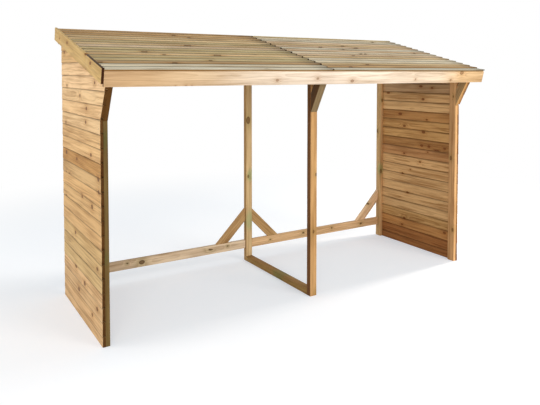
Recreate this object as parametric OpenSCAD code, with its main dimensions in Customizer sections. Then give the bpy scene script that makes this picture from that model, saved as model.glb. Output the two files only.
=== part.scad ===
// Double-bay log store: two clad side walls, an open middle frame and a pent roof of lapped boards.
// Millimetres. X runs along the front, +Y to the back, +Z up, with the ground at Z = 0.
// The origin is under the middle of the whole store.

/* [Bays] */
// Clear width of each bay, between a side post and the middle post
bay_w = 1510; // [900:5:2000]
// Depth of the frames, from the front posts' front faces to the rear posts' rear faces
frame_d = 1020; // [700:5:1300]

/* [Side frames] */
// Thickness of the side posts and their rafters, across the store
post_t = 28; // [22:1:45]
// Width of the side posts, along the wall
post_w = 68; // [50:1:95]

/* [Middle frame] */
// Width of the middle posts, across the store
mid_post_w = 58; // [40:1:90]
// Depth of the middle posts and height of their base rail
mid_post_d = 45; // [35:1:70]

/* [Wall boards] */
// Thickness of one wall board
wall_t = 19; // [16:0.5:25]
// Height of a wall board that stays in view
wall_exposure = 89; // [75:1:95]
// Height of the lowest joint above the ground
wall_first_lap = 62; // [30:1:74]
// Height of the lip that hangs over the board below
lip_h = 14; // [12:1:20]
// Thickness of that lip
lip_t = 6; // [4:0.5:8]
// How far the lip's lower edge stands out from the board below
lip_step = 2; // [0.5:0.5:4]
// Gap under the lip, on the wall's outside
face_gap = 2; // [1:0.5:4]
// Gap behind the lip, open to the wall's inside
back_gap = 6; // [2:0.5:8]
// How far that gap falls towards the inside
splay = 8; // [0:1:10]

/* [Roof boards] */
// Thickness of one roof board
board_t = 9; // [6:0.5:12]
// Full width of one roof board
board_w = 104; // [100:1:125]
// How far one board's face is pressed into the next, on the walls and the roof
board_bed = 0.2; // [0.1:0.1:0.5]
// Length of a roof board that stays in view, up the slope
roof_exposure = 81; // [70:1:95]
// How far the lowest roof board stands out past the front fascia
drip_edge = 4; // [0:1:12]

/* [Roof] */
// Slope of the roof, falling to the front
roof_pitch = 14.2; // [8:0.1:18]
// Height of the front fascia's top edge
eave_z = 1690; // [1500:5:2000]
// Reach of the front fascia's top edge in front of the posts
eave_out = 167; // [140:1:220]
// Reach of the roof boards past the right wall
right_verge = 116; // [40:1:160]
// Gap between the two roof panels
panel_gap = 4; // [1:0.5:10]
// Width of the strips that lift the lowest roof boards, up the slope
starter_w = 40; // [25:1:70]
// How far those strips stand back from the fascia's front face
starter_back = 6; // [0:1:12]
// Depth of the rafters, square to the slope
rafter_h = 68; // [50:1:90]
// Thickness of the roof battens
batten_t = 18; // [16:1:25]
// Depth of the roof battens, square to the slope
batten_h = 44; // [30:1:60]
// Thickness of the fascias
fascia_t = 18; // [15:1:25]
// Width of the fascia and barge boards
fascia_h = 95; // [92:1:120]
// Thickness of the barge board
barge_t = 16; // [12:1:22]
// Height of the barge board's top edge above the rafters' top edges
barge_rise = 19; // [12:1:30]
// Length of the barge board behind the roof's rear edge
barge_tail = 28; // [10:1:60]

/* [Brackets and braces] */
// Lean of the front brackets, from upright
bracket_lean = 29; // [24:1:34]
// Width of the front brackets' timber
bracket_w = 68; // [50:1:75]
// Height of the back rails above the ground
rail_z = 113; // [60:1:250]
// Height of the back rails
rail_h = 73; // [50:1:100]
// Thickness of the back rails and their braces
rail_t = 28; // [20:1:40]
// Reach of each brace along its back rail
brace_reach = 287; // [200:1:400]
// Width of the braces' timber
brace_w = 76; // [50:1:95]

/* [Hidden] */
// Tilt of a lapped roof board: its lower edge lies on the face of the board below
roof_tilt = asin((board_t - board_bed) / roof_exposure);

// Places along X, from the left barge board to the right ends of the roof boards
frame_w = 2 * (wall_t + post_t + bay_w) + mid_post_w;
total_w = barge_t + batten_t + frame_w + right_verge;
x_barge = -total_w / 2;
x_roof = x_barge + barge_t;
x_clad_left = x_roof + batten_t;
x_post_left = x_clad_left + wall_t;
x_mid = x_post_left + post_t + bay_w;
x_post_right = x_mid + mid_post_w + bay_w;
x_clad_right = x_post_right + post_t;
x_verge = x_barge + total_w;
x_joint = x_mid + mid_post_w + batten_t;
x_panel = x_joint + panel_gap;

// The roof's own length up the slope, and its reach along Y about the front posts
roof_len = (eave_out + frame_d + fascia_t) / cos(roof_pitch);
first_tip = board_w * sin(roof_tilt) + board_t * cos(roof_tilt);
front_reach = eave_out + (drip_edge - board_t * sin(roof_tilt)) * cos(roof_pitch)
    + first_tip * sin(roof_pitch);
rear_reach = (roof_len + barge_tail) * cos(roof_pitch) - eave_out
    + (fascia_h - barge_rise) * sin(roof_pitch);

// Places along Y: the posts' front and rear faces, and the fascia's top edge
y_front = (front_reach - rear_reach) / 2;
y_back = y_front + frame_d;
y_eave = y_front - eave_out;

// A point in the side view, from its distance up the slope and its height over the rafters
function roof_point(along, over) = [
    y_eave + along * cos(roof_pitch) - over * sin(roof_pitch),
    eave_z + along * sin(roof_pitch) + over * cos(roof_pitch)
];

// Height of the sloping line that lies over the rafters' tops by a given distance
function slope_z(y, over) = eave_z + (y - y_eave) * tan(roof_pitch) + over / cos(roof_pitch);

// Height over the rafters of the lowest roof board's underside
function board_under(along) = board_w * sin(roof_tilt) - (along + drip_edge) * tan(roof_tilt);

// The corner under a rafter's front end, behind the fascia, and the brackets that run up to it
bracket_tip = roof_point(fascia_t, -rafter_h);
bracket_foot = bracket_tip[1] - (y_front - bracket_tip[0]) / tan(bracket_lean);

rail_top = rail_z + rail_h;
brace_cut = brace_w / cos(45);

// Number of boards on a wall and up the roof. A wall gets no top board that would be lower than its lip.
wall_board_count = ceil((slope_z(y_back, 0) - lip_h - wall_first_lap) / wall_exposure) + 1;
roof_board_count = ceil((roof_len + drip_edge) / roof_exposure);

post_colour = "#b08a55";
mid_colour = "#b98a50";
clad_colour = "#d8b07a";
roof_colour = "#a8946a";
fascia_colour = "#ecd2aa";
rail_colour = "#cda878";

// Stands a side view, drawn in Y and Z, up at x and thickens it towards +X
module across(x, thickness) {
    translate([x, 0, 0]) rotate([90, 0, 90]) linear_extrude(thickness) children();
}

// Stands a back view, drawn in X and Z, up against the plane y and thickens it towards the front
module against(y, thickness) {
    translate([0, y, 0]) rotate([90, 0, 0]) linear_extrude(thickness) children();
}

// Side view of a post from y, cut to the slope under its rafter
module post_outline(y, depth) {
    polygon([
        [y, 0],
        [y + depth, 0],
        [y + depth, slope_z(y + depth, -rafter_h)],
        [y, slope_z(y, -rafter_h)]
    ]);
}

// Side view of a sloping timber under the roof boards, from fascia to fascia
module sloping_outline(depth) {
    polygon([
        roof_point(fascia_t, -depth),
        [y_back, slope_z(y_back, -depth)],
        [y_back, slope_z(y_back, 0)],
        roof_point(fascia_t, 0)
    ]);
}

// Side view of a bracket: a strut from the post's front face to the rafter's front end
module bracket_outline() {
    heel = bracket_foot + bracket_w / sin(bracket_lean);
    rafter_over_heel = bracket_tip[1] + (y_front - bracket_tip[0]) * tan(roof_pitch) - heel;
    back_edge = rafter_over_heel / (cos(bracket_lean) + sin(bracket_lean) * tan(roof_pitch));
    polygon([
        [y_front, bracket_foot],
        [y_front, heel],
        [y_front - back_edge * sin(bracket_lean), heel + back_edge * cos(bracket_lean)],
        bracket_tip
    ]);
}

// Side view of a clad wall: the posts' depth, spread at the front to follow the bracket
module wall_outline() {
    polygon([
        [y_front, 0],
        [y_back, 0],
        [y_back, slope_z(y_back, 0)],
        roof_point(fascia_t, 0),
        bracket_tip,
        [y_front, bracket_foot]
    ]);
}

// End view of one wall board: X is the distance out from the posts, Y the height over its lower edge.
// Its lip covers the tongue of the board below, and the gap behind the lip falls towards the inside.
module wall_board_profile() {
    tongue = wall_t - lip_t + board_bed;
    tongue_top = wall_exposure + lip_h - back_gap;
    polygon([
        [wall_t, 0],
        [wall_t - lip_step, wall_exposure - face_gap],
        [tongue, wall_exposure - face_gap],
        [tongue, tongue_top],
        [0, tongue_top - splay],
        [0, lip_h - splay],
        [wall_t - lip_t, lip_h],
        [wall_t - lip_t, 0]
    ]);
}

module wall_boards_profile() {
    for (k = [0 : wall_board_count - 1])
        translate([0, wall_first_lap + (k - 1) * wall_exposure]) wall_board_profile();
}

// Wall of boards with its back at X = 0 and its lips towards +X
module board_wall() {
    intersection() {
        against(y_back, y_back - bracket_tip[0]) wall_boards_profile();
        across(0, wall_t) wall_outline();
    }
}

// End view of the lapped roof boards: X up the slope, Y over the rafters
module roof_boards_profile() {
    intersection() {
        for (k = [0 : roof_board_count - 1])
            translate([k * roof_exposure - drip_edge, board_w * sin(roof_tilt)])
                rotate(-roof_tilt)
                    square([board_w, board_t]);
        translate([-drip_edge, 0])
            square([drip_edge + roof_len, first_tip]);
    }
}

module roof_panel(x_from, x_to) {
    across(x_from, x_to - x_from)
        translate([y_eave, eave_z]) rotate(roof_pitch) roof_boards_profile();
}

// Wedge on the fascia's top edge and the battens that gives the lowest board the tilt of the others
module starter_strip(x_from, x_to) {
    rear_edge = starter_back + starter_w;
    color(roof_colour)
        across(x_from, x_to - x_from)
            translate([y_eave, eave_z]) rotate(roof_pitch)
                polygon([
                    [starter_back, 0],
                    [rear_edge, 0],
                    [rear_edge, board_under(rear_edge)],
                    [starter_back, board_under(starter_back)]
                ]);
}

// Side view of a board that lies along the slope, as a rectangle in the slope's own directions
module slope_board(along, length, over, depth) {
    translate([y_eave, eave_z]) rotate(roof_pitch)
        translate([along, over]) square([length, depth]);
}

// Back view of a brace that rises to a post's side face, which lies at x, from one side of it
module brace_outline(x, side) {
    polygon([
        [x + side * brace_reach, rail_top],
        [x, rail_top + brace_reach],
        [x, rail_top + brace_reach - brace_cut],
        [x + side * (brace_reach - brace_cut), rail_top]
    ]);
}

module brace(x, side) {
    color(rail_colour) against(y_back, rail_t) brace_outline(x, side);
}

module back_rail(x_from, x_to) {
    color(rail_colour)
        translate([x_from, y_back - rail_t, rail_z]) cube([x_to - x_from, rail_t, rail_h]);
}

module rafter(x, thickness, colour) {
    color(colour) across(x, thickness) sloping_outline(rafter_h);
}

module batten(x) {
    color(roof_colour) across(x, batten_t) sloping_outline(batten_h);
}

module bracket(x, thickness, colour) {
    color(colour) across(x, thickness) bracket_outline();
}

module post(x, thickness, y, depth, colour) {
    color(colour) across(x, thickness) post_outline(y, depth);
}

module left_front_post() { post(x_post_left, post_t, y_front, post_w, "#6e5c36"); }
module left_rear_post() { post(x_post_left, post_t, y_back - post_w, post_w, post_colour); }
module mid_front_post() { post(x_mid, mid_post_w, y_front, mid_post_d, "#d8a868"); }
module mid_rear_post() { post(x_mid, mid_post_w, y_back - mid_post_d, mid_post_d, mid_colour); }
module right_front_post() { post(x_post_right, post_t, y_front, post_w, "#c89a64"); }
module right_rear_post() { post(x_post_right, post_t, y_back - post_w, post_w, post_colour); }

module mid_base_rail() {
    color("#7a5c30")
        translate([x_mid, y_front + mid_post_d, 0])
            cube([mid_post_w, frame_d - 2 * mid_post_d, mid_post_d]);
}

module left_cladding() { color(clad_colour) translate([x_post_left, 0, 0]) mirror([1, 0, 0]) board_wall(); }
module right_cladding() { color(clad_colour) translate([x_clad_right, 0, 0]) board_wall(); }

module left_rafter() { rafter(x_post_left, post_t, post_colour); }
module mid_rafter() { rafter(x_mid, mid_post_w, mid_colour); }
module right_rafter() { rafter(x_post_right, post_t, post_colour); }

module left_bracket() { bracket(x_post_left, post_t, "#8a6a3c"); }
module mid_bracket() { bracket(x_mid, mid_post_w, "#8a6f48"); }
module right_bracket() { bracket(x_post_right, post_t, post_colour); }

module left_back_rail() { back_rail(x_post_left + post_t, x_mid); }
module right_back_rail() { back_rail(x_mid + mid_post_w, x_post_right); }

module left_post_brace() { brace(x_post_left + post_t, 1); }
module mid_left_brace() { brace(x_mid, -1); }
module mid_right_brace() { brace(x_mid + mid_post_w, 1); }
module right_post_brace() { brace(x_post_right, -1); }

module left_verge_batten() { batten(x_roof); }
module left_bay_batten() { batten((x_roof + x_joint - batten_t) / 2); }
module left_joint_batten() { batten(x_joint - batten_t); }
module right_joint_batten() { batten(x_panel); }
module right_bay_batten() { batten((x_panel + x_verge - batten_t) / 2); }
module right_verge_batten() { batten(x_verge - batten_t); }

module left_starter_strip() { starter_strip(x_roof, x_joint); }
module right_starter_strip() { starter_strip(x_panel, x_verge); }

module left_roof_boards() { color(roof_colour) roof_panel(x_roof, x_joint); }
module right_roof_boards() { color(roof_colour) roof_panel(x_panel, x_verge); }

module front_fascia() {
    color(fascia_colour)
        across(x_roof, x_verge - x_roof) slope_board(0, fascia_t, -fascia_h, fascia_h);
}

module rear_fascia() {
    y_rear = y_back + fascia_t;
    z_low = slope_z(y_back, 0) - fascia_h;
    color(fascia_colour)
        across(x_roof, x_verge - x_roof)
            polygon([
                [y_back, z_low],
                [y_rear, z_low],
                [y_rear, slope_z(y_rear, 0)],
                [y_back, slope_z(y_back, 0)]
            ]);
}

module barge_board() {
    color(clad_colour)
        across(x_barge, barge_t) slope_board(0, roof_len + barge_tail, barge_rise - fascia_h, fascia_h);
}

left_front_post();
left_rear_post();
mid_front_post();
mid_rear_post();
right_front_post();
right_rear_post();
mid_base_rail();
left_cladding();
right_cladding();
left_rafter();
mid_rafter();
right_rafter();
left_bracket();
mid_bracket();
right_bracket();
left_back_rail();
right_back_rail();
left_post_brace();
mid_left_brace();
mid_right_brace();
right_post_brace();
left_verge_batten();
left_bay_batten();
left_joint_batten();
right_joint_batten();
right_bay_batten();
right_verge_batten();
left_starter_strip();
right_starter_strip();
left_roof_boards();
right_roof_boards();
front_fascia();
rear_fascia();
barge_board();
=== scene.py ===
# %% [markdown]
# # A double log store in sawn softwood
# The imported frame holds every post, rail, wall and roof panel of this store at its real size. This lesson
# dresses it for close looks: each timber is sawn again with worn edges, the walls and the roof are laid
# board by board, the boards are nailed, and every surface gets softwood with rings and knots. All pieces
# stay where the frame has them, so nothing has to be fitted by eye.

# %% Load the frame
import math
import random

import bmesh
import bpy
from mathutils import Matrix, Vector, noise


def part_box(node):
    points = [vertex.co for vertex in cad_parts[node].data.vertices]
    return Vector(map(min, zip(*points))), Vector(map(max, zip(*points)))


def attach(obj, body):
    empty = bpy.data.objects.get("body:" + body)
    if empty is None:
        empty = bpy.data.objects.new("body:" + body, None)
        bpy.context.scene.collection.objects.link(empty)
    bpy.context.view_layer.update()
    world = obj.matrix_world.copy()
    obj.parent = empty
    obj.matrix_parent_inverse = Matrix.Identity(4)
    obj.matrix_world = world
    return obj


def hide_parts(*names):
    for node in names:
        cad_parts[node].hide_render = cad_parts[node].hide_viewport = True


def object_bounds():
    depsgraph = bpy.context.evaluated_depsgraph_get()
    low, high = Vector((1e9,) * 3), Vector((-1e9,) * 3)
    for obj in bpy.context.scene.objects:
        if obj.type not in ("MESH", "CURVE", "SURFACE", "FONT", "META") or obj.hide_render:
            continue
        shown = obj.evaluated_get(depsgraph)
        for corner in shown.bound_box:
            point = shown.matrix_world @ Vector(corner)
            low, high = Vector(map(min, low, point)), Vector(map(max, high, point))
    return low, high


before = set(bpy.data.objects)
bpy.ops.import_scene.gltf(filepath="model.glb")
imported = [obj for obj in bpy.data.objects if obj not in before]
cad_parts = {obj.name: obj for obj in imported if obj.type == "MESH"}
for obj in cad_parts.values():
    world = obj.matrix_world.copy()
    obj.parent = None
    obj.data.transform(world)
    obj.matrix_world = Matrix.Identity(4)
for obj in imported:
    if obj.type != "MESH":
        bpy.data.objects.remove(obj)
cad_low, cad_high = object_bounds()
print("frame:", len(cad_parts), "nodes,", [round(s, 3) for s in cad_high - cad_low], "m")

# %% [markdown]
# ## The camera
# The store is seen from the left of its open front, at a standing person's eye level, with the uprights
# almost upright in the picture. A camera that only tilts down would make them lean together. A lens shift
# keeps them straight but also moves the store in every other view. So most of the framing is a shift, and
# the rest is a small tilt.

# %% Camera
CAMERA_PLACE = (-2.597, -3.971, 1.685)
CAMERA_TURN = math.radians(31.70)
CAMERA_TILT = math.radians(2.5)
CAMERA_LENS = 38.93
CAMERA_SHIFT = -0.194
SENSOR_WIDTH = 36.0


def put_in_scene(name, data):
    made = bpy.data.objects.new(name, data)
    bpy.context.scene.collection.objects.link(made)
    return made


def set_camera():
    lens = bpy.data.cameras.new("camera")
    lens.sensor_width = SENSOR_WIDTH
    lens.lens = CAMERA_LENS
    lens.shift_y = CAMERA_SHIFT
    camera = put_in_scene("camera", lens)
    camera.location = CAMERA_PLACE
    camera.rotation_euler = (math.pi / 2 - CAMERA_TILT, 0.0, -CAMERA_TURN)
    bpy.context.scene.camera = camera
    return camera


print("camera:", set_camera().location[:])

# %% [markdown]
# ## Shader maths as plain sums
# A material is a graph of nodes, and a wood pattern needs dozens of them. Placing each one by hand hides the
# idea. Here one small class wraps a socket: adding, multiplying or subtracting two of them adds the Math
# node that does it, and one method makes any other node. A pattern then reads like the sum that it is. Each
# operator is defined both ways, so that a number may also stand first.

# %% Signal class


def both_ways(operation):
    """The plain and the reflected form of an operator."""
    return (lambda self, other: self.maths(operation, self, other),
            lambda self, other: self.maths(operation, other, self))


class Signal:
    """One socket of a material. Arithmetic on it adds Math nodes."""

    __add__, __radd__ = both_ways("ADD")
    __sub__, __rsub__ = both_ways("SUBTRACT")
    __mul__, __rmul__ = both_ways("MULTIPLY")
    __truediv__, __rtruediv__ = both_ways("DIVIDE")
    __pow__, __rpow__ = both_ways("POWER")

    def __init__(self, tree, socket=None):
        self.tree = tree
        self.socket = socket

    def node(self, kind, settings=None, inputs=None, output=0):
        """Any other node: its settings are set first, then its sockets are filled or linked."""
        made = self.tree.nodes.new(kind)
        for name, value in (settings or {}).items():
            setattr(made, name, value)
        for name, value in (inputs or {}).items():
            if isinstance(value, Signal):
                self.tree.links.new(value.socket, made.inputs[name])
            else:
                made.inputs[name].default_value = value
        return Signal(self.tree, made.outputs[output] if len(made.outputs) else None)

    def maths(self, operation, *values):
        return self.node("ShaderNodeMath", {"operation": operation}, dict(enumerate(values)))

    def fraction(self):
        return self.maths("FRACT", self)

    def least(self, other):
        return self.maths("MINIMUM", self, other)

    def largest(self, other):
        return self.maths("MAXIMUM", self, other)

    def step(self, low, high):
        """A soft step, from 0 where this is at low to 1 where it is at high."""
        settings = {"interpolation_type": "SMOOTHSTEP"}
        return self.node("ShaderNodeMapRange", settings, {"Value": self, "From Min": low, "From Max": high})

    def vector(self, operation, other):
        return self.node("ShaderNodeVectorMath", {"operation": operation}, {0: self, 1: other})

    def length(self):
        return self.node("ShaderNodeVectorMath", {"operation": "LENGTH"}, {0: self}, "Value")

    def times(self, amount):
        """A vector or a colour, made larger or brighter by one number."""
        return self.node("ShaderNodeVectorMath", {"operation": "SCALE"}, {0: self, "Scale": amount})

    def parts(self):
        split = self.node("ShaderNodeSeparateXYZ", inputs={0: self}).socket.node
        return [Signal(self.tree, socket) for socket in split.outputs]

    def noise(self, scale, detail=2.0):
        """Even noise from 0 to 1, with its own scale along each direction."""
        inputs = {"Vector": self.vector("MULTIPLY", scale), "Scale": 1.0, "Detail": detail}
        return self.node("ShaderNodeTexNoise", {"noise_dimensions": "3D"}, inputs)

    def mixed(self, factor, other):
        """This colour, turned into another where the factor is 1."""
        settings = {"data_type": "RGBA", "clamp_factor": True}
        return self.node("ShaderNodeMix", settings, {0: factor, 6: self, 7: other}, 2)


print("signal class ready")

# %% [markdown]
# ## Colours
# Colours are written here as they look on a screen, but shaders count light on a linear scale. The colour
# picker converts one colour at a time. A function does it for all.

# %% Colours


def paint(hex_colour):
    """A screen colour such as #d2ab76 as the linear numbers that shaders use."""
    screen = [int(hex_colour[i:i + 2], 16) / 255 for i in (1, 3, 5)]
    linear = [c / 12.92 if c <= 0.04045 else ((c + 0.055) / 1.055) ** 2.4 for c in screen]
    return (*linear, 1.0)


print("mid grey reflects", round(paint("#808080")[0], 3))

# %% [markdown]
# ## Sky
# Daylight comes from all around. A picture of a sky would do, but it would also stain the timber and show
# behind it. A plain world does neither: a dim and slightly blue fill lights the wood, and the camera sees
# white, directly or in gloss. The Light Path node tells the two apart.

# %% Sky
SKY_FILL = 0.50
SKY_COLOUR = (0.95, 1.0, 1.06, 1.0)
WHITE = (1.0, 1.0, 1.0, 1.0)


def seen_by_camera(start):
    """1 for what the camera sees, directly or in gloss and glass, and 0 for light on the object."""
    rays = start.node("ShaderNodeLightPath").socket.node.outputs
    direct, gloss, glass = [Signal(start.tree, rays["Is %s Ray" % kind])
                            for kind in ("Camera", "Glossy", "Transmission")]
    return direct.largest(gloss).largest(glass)


def white_sky():
    world = bpy.data.worlds.new("studio")
    bpy.context.scene.world = world
    world.use_nodes = True
    world.node_tree.nodes.clear()
    start = Signal(world.node_tree)
    fill = start.node("ShaderNodeBackground", inputs={"Color": SKY_COLOUR, "Strength": SKY_FILL})
    white = start.node("ShaderNodeBackground", inputs={"Color": WHITE, "Strength": 1.0})
    both = start.node("ShaderNodeMixShader", inputs={0: seen_by_camera(start), 1: fill, 2: white})
    start.node("ShaderNodeOutputWorld", inputs={"Surface": both})


bpy.context.scene.view_settings.view_transform = "Standard"
white_sky()
print("sky fill:", SKY_FILL)

# %% [markdown]
# ## Floor
# The store stands on a pale floor that runs out into white. A curved backdrop would do, but a flat floor
# that fades to white with distance needs no curve and has no horizon line. A faint blue glow near the store
# keeps its shadow soft and cool. Glow and white are only for what the camera sees, as in the sky, so they
# add no light to the timber.

# %% Floor
FLOOR_SIZE = 60.0
FLOOR_NEAR = 2.2
FLOOR_FAR = 5.5
FLOOR_PALE = (0.72, 0.67, 0.62, 1.0)
FLOOR_GLOW = (0.36, 0.41, 0.46, 1.0)


def new_material(name):
    material = bpy.data.materials.new(name)
    material.use_nodes = True
    material.node_tree.nodes.clear()
    return material, Signal(material.node_tree)


def floor_finish():
    material, start = new_material("pale floor")
    away = start.node("ShaderNodeTexCoord", output="Object").length().step(FLOOR_NEAR, FLOOR_FAR)
    seen = seen_by_camera(start)
    pale = start.node("ShaderNodeBsdfDiffuse", inputs={"Color": FLOOR_PALE})
    glow = start.node("ShaderNodeEmission", inputs={"Color": FLOOR_GLOW, "Strength": 1.0})
    glowing = start.node("ShaderNodeAddShader", inputs={0: pale, 1: glow})
    near = start.node("ShaderNodeMixShader", inputs={0: seen, 1: pale, 2: glowing})
    white = start.node("ShaderNodeEmission", inputs={"Color": WHITE, "Strength": 1.0})
    both = start.node("ShaderNodeMixShader", inputs={0: away * seen, 1: near, 2: white})
    start.node("ShaderNodeOutputMaterial", inputs={"Surface": both})
    return material


def mesh_of(name, bm):
    """A mesh with what was modelled, whose working copy is let go."""
    mesh = bpy.data.meshes.new(name)
    bm.to_mesh(mesh)
    bm.free()
    return mesh


def pale_floor():
    sheet = bmesh.new()
    bmesh.ops.create_grid(sheet, x_segments=1, y_segments=1, size=FLOOR_SIZE / 2)
    mesh = mesh_of("floor", sheet)
    mesh.materials.append(floor_finish())
    floor = put_in_scene("floor", mesh)


pale_floor()
print("floor:", FLOOR_SIZE, "m, white from", FLOOR_FAR, "m on")

# %% [markdown]
# ## Lamps
# In daylight the front and the left wall are bright and the inside of the bays is dim. A sun would do that
# with hard shadows. Disc lamps are softer: a broad one in front for the fascia and the posts, one on the left
# for the left wall, and one on the left in front that looks into the bays. A smaller lamp on the right lays
# the shadow across the floor. With the sky they add up to about one on the surfaces that face them, so a
# colour there shows about as it is written.

# %% Lamps
LAMPS = [
    ("front lamp", (2.6, -6.8, 4.2), (0.2, -0.3, 1.0), 4.0, 215),
    ("right lamp", (7.0, -0.2, 3.4), (0.0, 0.0, 0.6), 0.9, 330),
    ("left lamp", (-6.6, 1.6, 1.5), (-1.6, 0.0, 1.0), 2.6, 104),
    ("bay lamp", (-4.5, -6.0, 1.8), (1.2, 0.0, 1.0), 3.0, 168),
]


def soft_lamp(name, place, target, size, watts):
    light = bpy.data.lights.new(name, "AREA")
    light.shape = "DISK"
    light.size = size
    light.energy = watts
    lamp = put_in_scene(name, light)
    lamp.location = place
    lamp.rotation_euler = (Vector(target) - Vector(place)).to_track_quat("-Z", "Y").to_euler()


for lamp_values in LAMPS:
    soft_lamp(*lamp_values)
print("lamps:", len(LAMPS))

# %% [markdown]
# ## Knots
# Pine boards are full of round brown knots, where branches grew. A knot is the end of a cone that points to
# the pith, so on a face it is an oval with a dark rim, and the grain flows round it. Most knots here are
# strewn by a Voronoi texture in the tree's own space, one chance for a knot in each cell. The few that an
# onlooker would remember are listed one by one, at real places on the store.

# %% Knots
KNOT_CELL = (0.38, 0.095, 0.075)
KNOT_STRETCH = 0.45
KNOT_LEAST = 0.004
KNOT_MORE = 0.009
NO_KNOT = 50.0
SHARP_STEP = 0.001


def strewn_knots(grain, share):
    """Distance from a knot, as a share of its radius, for knots strewn through the tree."""
    spot = grain.vector("DIVIDE", KNOT_CELL)
    cells = spot.node("ShaderNodeTexVoronoi", {"voronoi_dimensions": "3D"}, {"Vector": spot, "Scale": 1.0})
    outputs = cells.socket.node.outputs
    luck = Signal(grain.tree, outputs["Color"]).parts()
    size = (KNOT_CELL[0] * KNOT_STRETCH, KNOT_CELL[1], 0.0)
    away = spot.vector("SUBTRACT", Signal(grain.tree, outputs["Position"])).vector("MULTIPLY", size).length()
    missing = luck[1].step(share - SHARP_STEP, share + SHARP_STEP)
    return away / (KNOT_LEAST + KNOT_MORE * luck[0]) + NO_KNOT * missing


def placed_knots(here, knots, squash):
    """The same for knots at known places, each a place and a radius, squashed along the grain."""
    nearest = NO_KNOT
    for place, radius in knots:
        away = here.vector("SUBTRACT", place).vector("MULTIPLY", squash).length() / radius
        nearest = away.least(nearest)
    return nearest


print("knots of", KNOT_LEAST * 2000, "to", (KNOT_LEAST + KNOT_MORE) * 2000, "mm")

# %% [markdown]
# ## The figure of the wood
# A flat picture of wood would repeat and stretch. Real wood is a solid: its rings are long cones round a
# pith, and a saw cut shows them as lines on a face and as arcs on an end. So each timber carries an
# attribute, grain, that says where every corner lay in the tree, as metres along, across and through it. The
# rings are drawn round the pith and bent by slow noise and by knots. Stretched noise adds the other marks.

# %% Figure of the wood
RING_PITCH = 0.0075
RING_DRIFT = 0.05
DRIFT_SCALE = (1.1, 5.0, 5.0)
RING_WANDER = 0.03
WANDER_SCALE = (2.3, 9.0, 9.0)
RING_BEND = 1.7
LATE_STARTS = (0.25, 0.90)
LATE_ENDS = (0.93, 1.0)
LATE_MEAN = 0.4
MARKS = {
    "streak": ((3.2, 75.0, 75.0), 3.0),
    "band": ((1.5, 30.0, 30.0), 2.0),
    "patch": ((1.6, 9.0, 9.0), 2.0),
    "fibre": ((16.0, 700.0, 700.0), 2.0),
    "saw": ((330.0, 9.0, 9.0), 1.0),
}


def late_wood(grain, swirl):
    """The dark part of each ring, as 0 to 1 less its mean. A swirl bends the rings."""
    across, through = grain.parts()[1:]
    drift = RING_DRIFT * (grain.noise(DRIFT_SCALE) - 0.5)
    wander = RING_WANDER * (grain.noise(WANDER_SCALE) - 0.5)
    radius = ((across + drift) ** 2.0 + (through + wander) ** 2.0) ** 0.5
    phase = (radius / RING_PITCH + RING_BEND * swirl).fraction()
    return phase.step(*LATE_STARTS) * (1.0 - phase.step(*LATE_ENDS)) - LATE_MEAN


def weighed(marks, weights):
    """The sum of some marks, each times its weight."""
    total = 0.0
    for name, weight in weights.items():
        total = weight * marks[name] + total
    return total


print("rings", RING_PITCH * 1000, "mm apart and", len(MARKS), "kinds of marks")

# %% [markdown]
# ## Softwood
# The timber is treated pine: pale sapwood, darker rings, brown knots with a stained halo, and a colour of its
# own for each board. A material per board could hold that colour, but a second attribute, tint, lets a whole
# wall share one. A third, lap, is the distance from a board's lower edge, so that a band just under the next
# board can be darkened as painted shade. In a few spots the treatment leaves the wood green, and sawn ends
# soak it up and turn dark. Relief and gloss follow the same marks as the colour.

# %% Softwood material
PALE_WOOD = (1.12, 1.12, 1.12)
LATE_WOOD = (0.56, 0.46, 0.36)
SHADE = 0.30
SHADE_OF = {"late": 0.26, "streak": 1.4, "band": 1.2, "patch": 0.9, "fibre": 0.4}
RELIEF_OF = {"fibre": 0.5, "late": 0.25, "saw": 0.22, "core": -0.35}
RELIEF = {"Strength": 0.45, "Distance": 0.0008}
ROUGH = 0.60
ROUGH_OF = {"fibre": 0.20, "late": -0.10, "core": -0.10}
GLOSS = 0.09
KNOT_HEART = paint("#74401a")
KNOT_RIM = paint("#35190a")
KNOT_ENDS = (0.80, 1.05)
RIM_STARTS = (0.50, 0.92)
HEART_DEPTH = 0.8
RIM_DEPTH = 0.55
HALO_WOOD = (0.72, 0.58, 0.44)
HALO_DEPTH = 0.6
SWIRL_FALL = -0.16
GREEN_STAIN = (0.76, 1.02, 0.98)
STAIN_WANDER = 2.0
STAIN_EDGE = (1.2, 0.3)
LAP_SHADE_BAND = 0.011


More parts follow.
